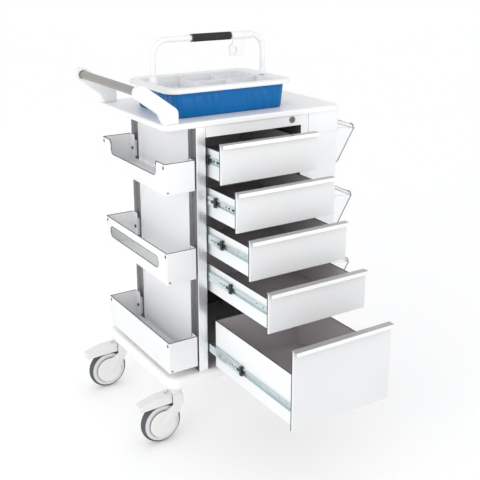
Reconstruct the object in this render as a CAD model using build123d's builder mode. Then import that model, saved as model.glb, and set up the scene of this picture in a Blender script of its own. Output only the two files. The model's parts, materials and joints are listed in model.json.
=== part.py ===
from build123d import *
import os

# Medication cart with five drawers on telescopic slides, three sheet-metal bins on the left,
# three clear bins on the right, a push handle, four casters and a lift-off carry tote.
# Working datum: x = 0 at the left face of the body, y = 0 at its front face, z = 0 on the floor.
# The rest pose has all five drawers pulled out in steps. Everything is moved at the end, so that
# the origin is at the bottom centre of the whole object's box.

# ---------------------------------------------------------------- driving dimensions, mm
BODY_WIDTH = 529.0
BODY_DEPTH = 447.0
BASE_BOTTOM, BASE_TOP = 180.0, 218.0
TOP_BOTTOM, TOP_TOP = 1014.0, 1033.0
BASE_X, BASE_Y = (-110.0, 544.0), (-10.0, 482.0)
TOP_X, TOP_Y = (-108.0, 538.0), (-10.0, 470.0)
BASE_CORNER, BASE_TOP_ROLL, BASE_BOTTOM_ROLL = 40.0, 14.0, 8.0
TOP_CORNER, TOP_ROLL = 28.0, 5.0

POST_WIDTH, POST_DEPTH, POST_ROUND = 34.0, 50.0, 3.0
TRACK_MOUTH, TRACK_LIP = 8.2, 4.5
TRACK_CAVITY, TRACK_FLOOR = 17.0, 11.0
CORE, CORE_WALL = (14.0, 31.0), 4.0
GROOVE_EDGES, GROOVE_WIDTH, GROOVE_DEEP = (8.0, 42.0), 2.0, 1.5
BAY_LEFT, BAY_RIGHT = 34.0, 383.0
COLUMN_LEFT = 411.5
COVER_THICK, COVER_RETURN = 3.0, 24.0
SHEET, WALL_SHEET, PANEL_SHEET, BACK_SHEET = 1.2, 2.0, 2.0, 2.5
PANEL_RECESS = 8.0
HEADER_BOTTOM, HEADER_DEPTH, HEADER_SHEET = 981.0, 30.0, 1.5
FASCIA_BOTTOM, FASCIA_PROUD = 949.0, 2.5

FRONT_TOP = 971.5
FRONT_HEIGHT, FRONT_GAP = 118.6, 5.4
FRONT_THICK, FRONT_BACKING, BACKING_INSET = 10.0, 3.0, 0.8
FRONT_SIDE_GAP, FRONT_ROLL = 0.4, 1.2
DEEP_FRONT_HEIGHT = 2 * FRONT_HEIGHT + FRONT_GAP
DRAWER_OPEN = (86.0, 172.0, 244.5, 341.0, 462.5)
DRAWER_TRAVEL = 470.0
BOX_RAISE, BOX_DROP, DEEP_BOX_DROP = 4.0, 25.0, 80.0
SLIDE_THICK, SLIDE_CLEAR = 12.7, 0.3
SLIDE_START, SLIDE_END = 12.0, 442.0
INNER_INSET, MIDDLE_START = 10.0, 40.0
OUTER_HALF, MIDDLE_HALF, INNER_HALF = 17.5, 14.0, 10.0
DEEP_SLIDE_HEIGHT = 62.0
PULL_REACH, PULL_THICK, PULL_LIP, PULL_LIP_THICK = 13.0, 3.0, 9.0, 2.2

LOCK_X, LOCK_Z = 348.0, 1001.0
LOCK_RADIUS, LOCK_RING, PLUG_RADIUS = 9.3, 10.2, 6.0
CAM_REACH, CAM_HALF = 17.0, 5.0
LOCK_BAR_X, LOCK_TRAVEL = (388.0, 391.0), 10.0
HOOK_LOW, HOOK_TALL, HOOK_Y = 78.0, 5.0, (24.0, 44.0)
CATCH_REACH, CATCH_TALL = 6.0, 8.0

WHEEL_RADIUS, WHEEL_WIDTH, HUB_RADIUS = 68.0, 32.0, 60.5
CASTER_TRAIL = 54.0
STEM_INSET_X, STEM_INSET_Y = 34.0, 36.0
STEM_RADIUS, STEM_LENGTH = 8.0, 26.0
HEAD_RADIUS, COLLAR_RADIUS, HEAD_GAP = 19.0, 28.0, 0.6
ARM_INNER, ARM_OUTER, COVER_RADIUS = 18.5, 23.5, 45.0
CROWN_BOTTOM, CROWN_TOP = 141.0, 162.0
AXLE_RADIUS = 6.0
PEDAL_PIVOT = (-28.0, 152.0)
PIN_RADIUS, LUG_RADIUS, LUG_HALF = 3.0, 6.0, 8.0
PEDAL_TIP, PEDAL_HEEL, PEDAL_HALF = -138.0, -21.0, 22.0
PEDAL_BOTTOM, PEDAL_CEILING, PEDAL_TOP, PEDAL_WALL = 130.0, 145.0, 162.0, 3.2

BAR_X, BAR_Z, BAR_RADIUS = -172.0, 1131.0, 13.0
BRACKET_THICK, BRACKET_ROUND = 26.0, 22.0
BRACKET_Y = (-8.0, 424.0)
BRACKET_FOOT = (-104.0, -58.0)

SIDE_BIN_X, SIDE_BIN_Y = (-108.0, -8.0), (-5.0, 440.0)
SIDE_BINS = {"upper": (824.0, 918.0), "middle": (541.0, 642.0), "lower": (243.0, 346.0)}
TRACK_Y = (25.0, 422.0)
FLANGE, INNER_LIP = 32.0, 14.0
PAD_HALF, PAD_INSET = 12.0, 20.0
SCREW_RADIUS, SCREW_HEAD, RIVET_RADIUS = 3.1, 5.0, 2.6

CLEAR_BIN_TOPS = (980.0, 747.0, 505.0)
CLEAR_BIN_Y = (3.0, 438.0)
CLEAR_WALL = 3.0

TOTE_CENTRE = (159.0, 188.0)
TOTE_REST_GAP = 0.3
TUB_SIZE, TUB_HEIGHT, TUB_WALL, TUB_TAPER, TUB_CORNER = (386.0, 264.0), 76.7, 2.4, 4.0, 22.0
RIM_SIZE, RIM_THICK, RIM_CORNER = (450.0, 300.0), 14.0, 42.0
RIM_WINDOW, WINDOW_CORNER = (372.0, 250.0), 22.0
BAIL_SPAN, BAIL_HEIGHT, BAIL_RADIUS, BAIL_BEND = 399.0, 129.0, 9.0, 48.0
GRIP_RADIUS, GRIP_SPAN = 12.5, (134.0, 274.0)
CLIP_START, CLIP_RADIUS, CLIP_LENGTH, PLATE_THICK = 277.0, 12.5, 76.0, 8.0

# ---------------------------------------------------------------- worked out from them
front_bottoms = [FRONT_TOP - FRONT_HEIGHT - n * (FRONT_HEIGHT + FRONT_GAP) for n in range(4)]
front_bottoms.append(front_bottoms[3] - FRONT_GAP - DEEP_FRONT_HEIGHT)
front_heights = [FRONT_HEIGHT] * 4 + [DEEP_FRONT_HEIGHT]
box_drops = [BOX_DROP] * 4 + [DEEP_BOX_DROP]
slide_heights = [bottom + FRONT_HEIGHT / 2 for bottom in front_bottoms[:4]]
slide_heights.append(front_bottoms[4] + DEEP_SLIDE_HEIGHT)
CASTERS = {
    "front_left": (BASE_X[0] + STEM_INSET_X, BASE_Y[0] + STEM_INSET_Y),
    "rear_left": (BASE_X[0] + STEM_INSET_X, BASE_Y[1] - STEM_INSET_Y),
    "front_right": (BASE_X[1] - STEM_INSET_X, BASE_Y[0] + STEM_INSET_Y),
    "rear_right": (BASE_X[1] - STEM_INSET_X, BASE_Y[1] - STEM_INSET_Y),
}

pieces = []


# ---------------------------------------------------------------- helpers
def keep(builder, label):
    """Label a finished piece and put it on the list that is written at the end."""
    builder.part.label = label
    pieces.append(builder.part)


def span_box(x, y, z, mode=Mode.ADD):
    """Add or cut the box between two limits on each axis, in the active part."""
    middle = tuple((low + high) / 2 for low, high in (x, y, z))
    with Locations(middle):
        Box(*[high - low for low, high in (x, y, z)], mode=mode)


def span_cylinder(centre, z, radius, mode=Mode.ADD):
    """Add or cut a vertical cylinder between two heights, in the active part."""
    with Locations((*centre, (z[0] + z[1]) / 2)):
        Cylinder(radius, z[1] - z[0], mode=mode)


def cross_cylinder(x, z, y, radius, mode=Mode.ADD):
    """Add or cut a cylinder that runs front to back between two depths, in the active part."""
    with Locations((x, (y[0] + y[1]) / 2, z)):
        Cylinder(radius, y[1] - y[0], rotation=(90, 0, 0), mode=mode)


def front_plane(y):
    """The plane at depth y whose sketch axes are X and Z; extruding by a minus goes back."""
    return Plane.XZ.offset(-y)


def slab(label, x, y, z, corner, top_edge, bottom_edge, sockets=()):
    """A board with round corners and rolled edges, with blind stem sockets below."""
    with BuildPart() as board:
        with BuildSketch(Plane.XY.offset(z[0])):
            with Locations((sum(x) / 2, sum(y) / 2)):
                RectangleRounded(x[1] - x[0], y[1] - y[0], corner)
        extrude(amount=z[1] - z[0])
        fillet(board.faces().sort_by(Axis.Z)[-1].edges(), top_edge)
        fillet(board.faces().sort_by(Axis.Z)[0].edges(), bottom_edge)
        for socket in sockets:
            span_cylinder(socket, (z[0] - 1, z[0] + STEM_LENGTH + 1), STEM_RADIUS + 0.05, Mode.SUBTRACT)
    keep(board, label)


# ---------------------------------------------------------------- base, worktop and casters
def make_caster_fork(name, stem, braked):
    """The swivel head, two arms that widen to round hub covers, the axle, and a braked caster's lug."""
    sx, sy = stem
    axle_x = sx - CASTER_TRAIL
    with BuildPart() as fork:
        for side in (-ARM_OUTER, ARM_INNER):
            with BuildSketch(front_plane(sy + side)):
                with Locations((axle_x, WHEEL_RADIUS)):
                    Circle(COVER_RADIUS)
                with BuildLine():
                    Polyline(
                        (sx - 17, CROWN_TOP), (sx + 17, CROWN_TOP), (sx + 18, 128),
                        (axle_x + COVER_RADIUS - 4, WHEEL_RADIUS), (axle_x, WHEEL_RADIUS),
                        (axle_x + 6, WHEEL_RADIUS + COVER_RADIUS - 4), (sx - 17, 126), close=True,
                    )
                make_face()
            extrude(amount=-(ARM_OUTER - ARM_INNER))
        span_box((sx - 17, sx + 17), (sy - ARM_OUTER, sy + ARM_OUTER), (CROWN_BOTTOM, CROWN_TOP))
        span_cylinder(stem, (CROWN_BOTTOM, BASE_BOTTOM - HEAD_GAP), HEAD_RADIUS)
        span_cylinder(stem, (BASE_BOTTOM - HEAD_GAP - 4, BASE_BOTTOM - HEAD_GAP), COLLAR_RADIUS)
        span_cylinder(stem, (CROWN_TOP, BASE_BOTTOM + STEM_LENGTH), STEM_RADIUS)
        cross_cylinder(axle_x, WHEEL_RADIUS, (sy - ARM_OUTER, sy + ARM_OUTER), AXLE_RADIUS)
        if braked:
            px, pz = sx + PEDAL_PIVOT[0], PEDAL_PIVOT[1]
            cross_cylinder(px, pz, (sy - LUG_HALF, sy + LUG_HALF), LUG_RADIUS)
            span_box((px, sx - 12), (sy - LUG_HALF, sy + LUG_HALF), (pz - LUG_RADIUS, pz + LUG_RADIUS))
            cross_cylinder(px, pz, (sy - PEDAL_HALF + 1, sy + PEDAL_HALF - 1), PIN_RADIUS)
    keep(fork, f"caster_fork_{name}")


def make_caster_wheel(name, stem):
    """A moulded wheel body with a ring groove near its rim and a grey tyre round it."""
    centre = (stem[0] - CASTER_TRAIL, stem[1], WHEEL_RADIUS)
    spin = Plane(origin=centre, x_dir=(1, 0, 0), z_dir=(0, 0, 1))
    half = WHEEL_WIDTH / 2
    face, seat = half - 1, half - 4.5
    groove = COVER_RADIUS + 3
    with BuildPart() as hub:
        with BuildSketch(spin):
            with BuildLine():
                Polyline(
                    (AXLE_RADIUS + 0.05, -half - 1.5), (12, -half - 1.5), (16, -half + 0.5),
                    (groove - 1.5, -face), (groove, -face + 1.5), (groove + 1.5, -face),
                    (HUB_RADIUS - 2, -face), (HUB_RADIUS, -seat), (HUB_RADIUS, seat), (HUB_RADIUS - 2, face),
                    (groove + 1.5, face), (groove, face - 1.5), (groove - 1.5, face), (16, half - 0.5),
                    (12, half + 1.5), (AXLE_RADIUS + 0.05, half + 1.5), close=True,
                )
            make_face()
        revolve(axis=Axis(centre, (0, 1, 0)))
    keep(hub, f"caster_wheel_{name}")
    with BuildPart() as tyre:
        with BuildSketch(spin):
            with BuildLine():
                Polyline((HUB_RADIUS, -seat), (HUB_RADIUS, seat), (HUB_RADIUS + 1, half - 2))
                RadiusArc((HUB_RADIUS + 1, half - 2), (WHEEL_RADIUS, 0), 18)
                RadiusArc((WHEEL_RADIUS, 0), (HUB_RADIUS + 1, -half + 2), 18)
                Line((HUB_RADIUS + 1, -half + 2), (HUB_RADIUS, -seat))
            make_face()
        revolve(axis=Axis(centre, (0, 1, 0)))
    keep(tyre, f"caster_tyre_{name}")


def make_brake_pedal(name, stem):
    """The rocking brake pedal: a hood over the wheel's top, hung on the head's lug."""
    sx, sy = stem
    px, pz = sx + PEDAL_PIVOT[0], PEDAL_PIVOT[1]
    tip, heel = sx + PEDAL_TIP, sx + PEDAL_HEEL
    inner_half = PEDAL_HALF - PEDAL_WALL
    with BuildPart() as pedal:
        with BuildSketch(front_plane(sy - PEDAL_HALF)):
            with BuildLine():
                Polyline(
                    (heel, PEDAL_BOTTOM + 2), (heel, PEDAL_TOP), (sx - 70, PEDAL_TOP - 0.5),
                    (tip + 6, PEDAL_TOP - 9), (tip, PEDAL_BOTTOM + 10), (tip + 6, PEDAL_BOTTOM + 2),
                    close=True,
                )
            make_face()
        extrude(amount=-2 * PEDAL_HALF)
        fillet(pedal.faces().filter_by(Axis.Y).edges(), 3)
        hollow_y, hollow_z = (sy - inner_half, sy + inner_half), (PEDAL_BOTTOM - 1, PEDAL_CEILING)
        span_box((tip + 10, heel + 1), hollow_y, hollow_z, Mode.SUBTRACT)
        lug_x, lug_y = (px - LUG_RADIUS - 1.2, heel + 1), (sy - LUG_HALF - 0.5, sy + LUG_HALF + 0.5)
        span_box(lug_x, lug_y, (PEDAL_BOTTOM, PEDAL_TOP + 8), Mode.SUBTRACT)
        cross_cylinder(px, pz, (sy - PEDAL_HALF - 1, sy + PEDAL_HALF + 1), PIN_RADIUS + 0.05, Mode.SUBTRACT)
    keep(pedal, f"brake_pedal_{name}")


base_edges = (BASE_CORNER, BASE_TOP_ROLL, BASE_BOTTOM_ROLL)
slab("base_plate", BASE_X, BASE_Y, (BASE_BOTTOM, BASE_TOP), *base_edges, CASTERS.values())
slab("worktop", TOP_X, TOP_Y, (TOP_BOTTOM, TOP_TOP), TOP_CORNER, TOP_ROLL, TOP_ROLL)
for caster_name, caster_stem in CASTERS.items():
    has_brake = caster_name.endswith("left")
    make_caster_fork(caster_name, caster_stem, has_brake)
    make_caster_wheel(caster_name, caster_stem)
    if has_brake:
        make_brake_pedal(caster_name, caster_stem)


# ---------------------------------------------------------------- cabinet
def make_corner_posts():
    """Four aluminium posts, each with a T-slot track open to the cart's side."""
    height = (BASE_TOP, TOP_BOTTOM)
    with BuildPart() as posts:
        for side in (0, 1):
            outer = BODY_WIDTH if side else 0.0
            inward = -1 if side else 1

            def across(near, far):
                return sorted((outer + inward * near, outer + inward * far))

            for y in (side * COVER_THICK, BODY_DEPTH - POST_DEPTH):
                middle = y + POST_DEPTH / 2
                with BuildSketch(Plane.XY.offset(height[0])):
                    with Locations((outer + inward * POST_WIDTH / 2, middle)):
                        RectangleRounded(POST_WIDTH, POST_DEPTH, POST_ROUND)
                extrude(amount=height[1] - height[0])
                for half, near, far in (
                    (TRACK_MOUTH / 2, -1, TRACK_LIP),
                    (TRACK_CAVITY / 2, TRACK_LIP, TRACK_FLOOR),
                    (POST_DEPTH / 2 - CORE_WALL, *CORE),
                ):
                    span_box(across(near, far), (middle - half, middle + half), height, Mode.SUBTRACT)
                for edge in GROOVE_EDGES:
                    groove = (y + edge - GROOVE_WIDTH / 2, y + edge + GROOVE_WIDTH / 2)
                    span_box(across(-1, GROOVE_DEEP), groove, height, Mode.SUBTRACT)
    keep(posts, "corner_posts")


def make_panels():
    """The recessed side panels, the back panel, the header and the drawer bay's right wall."""
    rise = (BASE_TOP, TOP_BOTTOM)
    rear_end = BODY_DEPTH - POST_DEPTH
    with BuildPart() as left:
        span_box((PANEL_RECESS, PANEL_RECESS + PANEL_SHEET), (POST_DEPTH, rear_end), rise)
    keep(left, "left_panel")
    right_face = BODY_WIDTH - PANEL_RECESS
    with BuildPart() as right:
        span_box((right_face - PANEL_SHEET, right_face), (POST_DEPTH + COVER_THICK, rear_end), rise)
    keep(right, "right_panel")
    with BuildPart() as back:
        span_box((0, BODY_WIDTH), (BODY_DEPTH, BODY_DEPTH + BACK_SHEET), rise)
    keep(back, "back_panel")
    across = (BAY_LEFT, COLUMN_LEFT - 0.5)
    with BuildPart() as header:
        span_box(across, (0, HEADER_DEPTH), (HEADER_BOTTOM, TOP_BOTTOM))
        room = (HEADER_BOTTOM + HEADER_SHEET, TOP_BOTTOM - HEADER_SHEET)
        span_box(across, (HEADER_SHEET, HEADER_DEPTH + 1), room, Mode.SUBTRACT)
        cross_cylinder(LOCK_X, LOCK_Z, (-5, 5), LOCK_RADIUS + 0.1, Mode.SUBTRACT)
    keep(header, "header_rail")
    with BuildPart() as wall:
        span_box((BAY_RIGHT, across[1]), (0, WALL_SHEET), (BASE_TOP, HEADER_BOTTOM))
        span_box((BAY_RIGHT, BAY_RIGHT + WALL_SHEET), (0, BODY_DEPTH), (BASE_TOP, HEADER_BOTTOM))
        for bottom in front_bottoms[:4]:
            low = bottom + HOOK_LOW - 1
            slot_z = (low, low + HOOK_TALL + LOCK_TRAVEL + 2)
            slot_y = (HOOK_Y[0] - 1, HOOK_Y[1] + 1)
            span_box((BAY_RIGHT - 1, BAY_RIGHT + WALL_SHEET + 1), slot_y, slot_z, Mode.SUBTRACT)
    keep(wall, "bay_wall")


def make_column():
    """The narrow column's folded cover and the plain fascia above it."""
    for label, face_y, z in (
        ("column_cover", 0.0, (BASE_TOP, FASCIA_BOTTOM - 1)),
        ("column_fascia", -FASCIA_PROUD, (FASCIA_BOTTOM, TOP_BOTTOM)),
    ):
        with BuildPart() as cover:
            span_box((COLUMN_LEFT, BODY_WIDTH), (face_y, COVER_THICK), z)
            span_box((COLUMN_LEFT, COLUMN_LEFT + SHEET), (face_y, COVER_RETURN), z)
            fillet(cover.edges().filter_by(Axis.Z).group_by(Axis.Y)[0], 1)
        keep(cover, label)


# ---------------------------------------------------------------- drawers
def channel(x_web, x_lips, y, z_middle, half, thick=1.4):
    """Add a slide member: an upright web and two lips that point across the gap."""
    span_box(sorted(x_web), y, (z_middle - half, z_middle + half))
    for low in (z_middle - half, z_middle + half - thick):
        span_box(sorted(x_lips), y, (low, low + thick))


def slide_pair(y, z_middle, web, lips, half):
    """Add the left member and its mirror image on the right; depths are from the cabinet side."""
    for side, inward in ((BAY_LEFT, 1), (BAY_RIGHT, -1)):
        web_x = [side + inward * depth for depth in web]
        lips_x = [side + inward * depth for depth in lips]
        channel(web_x, lips_x, y, z_middle, half)


def make_slide_rails():
    """The ten fixed slide members on the posts and on the bay wall."""
    with BuildPart() as rails:
        for z in slide_heights:
            slide_pair((SLIDE_START, SLIDE_END), z, (0.0, 1.4), (1.4, 9.5), OUTER_HALF)
    keep(rails, "slide_rails")


def make_front(number, x, bottom, top, out):
    """A laminated board with rolled front edges on a backing plate that is a little smaller."""
    skin_back = FRONT_THICK - FRONT_BACKING - out
    backing_x = (x[0] + BACKING_INSET, x[1] - BACKING_INSET)
    with BuildPart() as front:
        span_box(x, (-out, skin_back), (bottom, top))
        fillet(front.faces().sort_by(Axis.Y)[0].edges(), FRONT_ROLL)
        span_box(backing_x, (skin_back, FRONT_THICK - out), (bottom + BACKING_INSET, top))
    keep(front, f"drawer_{number}_front")


def make_pull(number, x, top, out):
    """The aluminium pull along the front's top edge, with a lip that the fingers hook behind."""
    with BuildPart() as pull:
        with BuildSketch(Plane.YZ.offset(x[0])):
            with BuildLine():
                Polyline(
                    (FRONT_THICK - out, top), (FRONT_THICK - out, top + PULL_THICK),
                    (-PULL_REACH - out, top + PULL_THICK), (-PULL_REACH - out, top - PULL_LIP),
                    (-PULL_REACH + PULL_LIP_THICK - out, top - PULL_LIP),
                    (-PULL_REACH + PULL_LIP_THICK - out, top), close=True,
                )
            make_face()
        extrude(amount=x[1] - x[0])
        fillet(pull.edges().filter_by(Axis.X).group_by(Axis.Y)[0], 1)
    keep(pull, f"drawer_{number}_pull")


def make_drawer(number, bottom, height, drop, slide_z, out):
    """One drawer: front, pull, sheet box with its inner slide members, and the middle members."""
    x = (BAY_LEFT + FRONT_SIDE_GAP, BAY_RIGHT - FRONT_SIDE_GAP)
    top = bottom + height
    make_front(number, x, bottom, top, out)
    make_pull(number, x, top, out)
    box_x = (BAY_LEFT + SLIDE_THICK + SLIDE_CLEAR, BAY_RIGHT - SLIDE_THICK - SLIDE_CLEAR)
    box_y = (FRONT_THICK - out, SLIDE_END - 6 - out)
    box_z = (bottom + BOX_RAISE, top - drop)
    inside = [(low + SHEET, high - SHEET) for low, high in (box_x, box_y)]
    inner_y = (SLIDE_START + INNER_INSET - out, SLIDE_END - INNER_INSET - out)
    with BuildPart() as box:
        span_box(box_x, box_y, box_z)
        span_box(*inside, (box_z[0] + SHEET, box_z[1] + 1), Mode.SUBTRACT)
        if number < 5:
            catch_z = bottom + HOOK_LOW + HOOK_TALL + 1.5
            catch_y = (HOOK_Y[1] + 1 - out, HOOK_Y[1] + 5 - out)
            span_box((box_x[1] + 0.1, box_x[1] + CATCH_REACH), catch_y, (catch_z, catch_z + CATCH_TALL))
        slide_pair(inner_y, slide_z, (11.2, SLIDE_THICK), (5.6, 11.2), INNER_HALF)
    keep(box, f"drawer_{number}_box")
    middle_y = (MIDDLE_START - out / 2, SLIDE_END - out / 2)
    with BuildPart() as middle:
        slide_pair(middle_y, slide_z, (2.8, 4.2), (4.2, 10.4), MIDDLE_HALF)
    keep(middle, f"drawer_{number}_middle_slides")


def make_lock():
    """The key lock's housing, its plug with the cam, and the bar whose hooks hold the drawers."""
    with BuildPart() as housing:
        cross_cylinder(LOCK_X, LOCK_Z, (-3, 0), LOCK_RING)
        cross_cylinder(LOCK_X, LOCK_Z, (0, 20), LOCK_RADIUS)
        fillet(housing.faces().sort_by(Axis.Y)[0].edges(), 1)
        cross_cylinder(LOCK_X, LOCK_Z, (-4, 21), PLUG_RADIUS + 0.05, Mode.SUBTRACT)
    keep(housing, "lock_housing")
    with BuildPart() as plug:
        cross_cylinder(LOCK_X, LOCK_Z, (-3.4, 21), PLUG_RADIUS)
        span_box((LOCK_X - 1, LOCK_X + 1), (-4, 12), (LOCK_Z - 4, LOCK_Z + 4), Mode.SUBTRACT)
        span_box((LOCK_X - CAM_HALF, LOCK_X + CAM_REACH), (21, 23), (LOCK_Z - CAM_HALF, LOCK_Z + CAM_HALF))
    keep(plug, "lock_plug")
    with BuildPart() as bar:
        span_box(LOCK_BAR_X, HOOK_Y, (front_bottoms[4] + 20, HEADER_BOTTOM - LOCK_TRAVEL - 5))
        for bottom in front_bottoms[:4]:
            low = bottom + HOOK_LOW
            span_box((BAY_RIGHT - 9, LOCK_BAR_X[0] - 0.1), HOOK_Y, (low, low + HOOK_TALL))
    keep(bar, "lock_bar")


make_corner_posts()
make_panels()
make_column()
make_slide_rails()
for n, distance in enumerate(DRAWER_OPEN):
    make_drawer(n + 1, front_bottoms[n], front_heights[n], box_drops[n], slide_heights[n], distance)
make_lock()


# ---------------------------------------------------------------- push handle
def make_push_handle():
    """Two swept arms that stand on the worktop's left edge and the bar between them."""
    foot_left, foot_right = BRACKET_FOOT
    bar_y = (BRACKET_Y[0] + BRACKET_THICK - 14, BRACKET_Y[1] + 14)
    with BuildPart() as brackets:
        for y in BRACKET_Y:
            with BuildSketch(front_plane(y)):
                with Locations((BAR_X, BAR_Z), (foot_right - BRACKET_ROUND, TOP_TOP + 30)):
                    Circle(BRACKET_ROUND)
                make_hull()
                with BuildLine():
                    Polyline(
                        (foot_left, TOP_TOP), (foot_right, TOP_TOP), (foot_right, TOP_TOP + 30),
                        (foot_right - BRACKET_ROUND, TOP_TOP + 52), (foot_left - 16, TOP_TOP + 34),
                        close=True,
                    )
                make_face()
            extrude(amount=-BRACKET_THICK)
        for end in brackets.faces().filter_by(Axis.Y):
            fillet(end.edges(), 3)
        cross_cylinder(BAR_X, BAR_Z, bar_y, BAR_RADIUS, Mode.SUBTRACT)
    keep(brackets, "handle_brackets")
    with BuildPart() as bar:
        cross_cylinder(BAR_X, BAR_Z, bar_y, BAR_RADIUS)
    keep(bar, "push_bar")


# ---------------------------------------------------------------- side bins
def cut_round_window(x, y, z, corner):
    """Cut a round-cornered opening through the outer wall of a side bin."""
    with BuildSketch(Plane.YZ.offset(x - 1)) as window:
        with Locations((sum(y) / 2, sum(z) / 2)):
            RectangleRounded(y[1] - y[0], z[1] - z[0], corner)
    extrude(window.sketch, amount=SHEET + 2, mode=Mode.SUBTRACT)


def cut_notch(x, y, z_low, z_top, corner):
    """Lower a stretch of a side bin's outer wall, with round corners above and below."""
    with BuildSketch(Plane.YZ.offset(x - 1)) as notch:
        with Locations((sum(y) / 2, (z_low + z_top) / 2)):
            Rectangle(y[1] - y[0], z_top - z_low)
        fillet(notch.vertices().group_by(Axis.Z)[0], corner)
        with BuildLine():
            Polyline((y[0] - corner, z_top), (y[1] + corner, z_top), (y[1], z_top - corner),
                     (y[0], z_top - corner), close=True)
        make_face()
    extrude(notch.sketch, amount=SHEET + 2, mode=Mode.SUBTRACT)


def make_side_bins():
    """Three folded sheet bins with an open inner side, end flanges and stand-off pads."""
    x, y = SIDE_BIN_X, SIDE_BIN_Y
    for label, z in SIDE_BINS.items():
        inside = [(low + SHEET, high - SHEET) for low, high in (x, y)]
        mouth = (z[0] + INNER_LIP, z[1] + 1)
        with BuildPart() as tray:
            span_box(x, y, z)
            fillet(tray.edges().filter_by(Axis.Z).group_by(Axis.X)[0], 2.4)
            span_box(*inside, (z[0] + SHEET, z[1] + 1), Mode.SUBTRACT)
            span_box((x[1] - 4, x[1] + 1), (y[0] + FLANGE, y[1] - FLANGE), mouth, Mode.SUBTRACT)
            for track in TRACK_Y:
                pad_y = (max(track - PAD_HALF, y[0]), min(track + PAD_HALF, y[1]))
                span_box((x[1], 0), pad_y, (z[0] + PAD_INSET, z[1] - PAD_INSET))
                with Locations((x[1] - 2, track, sum(z) / 2)):
                    Cylinder(SCREW_RADIUS + 0.1, 30, rotation=(0, 90, 0), mode=Mode.SUBTRACT)
            if label == "upper":
                cut_notch(x[0], (54, 377), z[0] + 48, z[1], 14)
            if label == "middle":
                cut_round_window(x[0], (52, 410), (z[0] + 36, z[0] + 74), 18)
        keep(tray, f"side_bin_{label}")
    with BuildPart() as fasteners:
        for z in SIDE_BINS.values():
            for track in TRACK_Y:
                with Locations((x[1] - SHEET - 1.5, track, sum(z) / 2)):
                    Cylinder(SCREW_HEAD, 3, rotation=(0, 90, 0))
                with Locations((0, track, sum(z) / 2)):
                    Cylinder(SCREW_RADIUS, 18, rotation=(0, 90, 0))
            for rivet_y in (y[0] + 9, y[1] - 9):
                with Locations((x[0] - 0.6, rivet_y, z[1] - 12)):
                    Cylinder(RIVET_RADIUS, 1.2, rotation=(0, 90, 0))
            cross_cylinder(x[0] + 8, z[0] + 6, (y[0] - 1.2, y[0]), RIVET_RADIUS)
    keep(fasteners, "bin_fasteners")


def make_clear_bins():
    """Three moulded clear bins with a slanted front and a small turned lip."""
    inner_x = BODY_WIDTH
    with BuildPart() as bins:
        for top in CLEAR_BIN_TOPS:
            outline = [
                (inner_x, top), (inner_x + 66, top - 19), (inner_x + 76, top - 36),
                (inner_x + 10, top - 143), (inner_x, top - 143),
            ]
            inside = [
                (inner_x + 3, top + 10), (inner_x + 63, top + 10), (inner_x + 63, top - 19.5),
                (inner_x + 72.6, top - 36), (inner_x + 8.4, top - 140), (inner_x + 3, top - 140),
            ]
            for shape, y, mode in (
                (outline, CLEAR_BIN_Y, Mode.ADD),
                (inside, (CLEAR_BIN_Y[0] + CLEAR_WALL, CLEAR_BIN_Y[1] - CLEAR_WALL), Mode.SUBTRACT),
            ):
                with BuildSketch(front_plane(y[0])):
                    Polygon(*shape, align=None)
                extrude(amount=y[0] - y[1], mode=mode)
    keep(bins, "clear_bins")


# ---------------------------------------------------------------- carry tote
def make_tub_and_rim(floor, rim_z):
    """The tapered tub and the rounded rim frame that closes over its edge."""
    with BuildPart() as tub:
        for inset, base, mode in ((0.0, 0.0, Mode.ADD), (TUB_WALL, TUB_WALL, Mode.SUBTRACT)):
            with BuildSketch(Plane.XY.offset(floor + base)):
                with Locations(TOTE_CENTRE):
                    RectangleRounded(*[size - 2 * inset for size in TUB_SIZE], TUB_CORNER - inset)
            extrude(amount=TUB_HEIGHT - base, taper=-TUB_TAPER, mode=mode)
    keep(tub, "tote_tub")
    with BuildPart() as rim:
        with BuildSketch(Plane.XY.offset(rim_z)):
            with Locations(TOTE_CENTRE):
                RectangleRounded(*RIM_SIZE, RIM_CORNER)
        extrude(amount=RIM_THICK)
        fillet(rim.faces().sort_by(Axis.Z)[-1].edges(), 5)
        fillet(rim.faces().sort_by(Axis.Z)[0].edges(), 2)
        with BuildSketch(Plane.XY.offset(rim_z - 1)):
            with Locations(TOTE_CENTRE):
                RectangleRounded(*RIM_WINDOW, WINDOW_CORNER)
        extrude(amount=RIM_THICK + 2, mode=Mode.SUBTRACT)
    keep(rim, "tote_rim")


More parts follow.
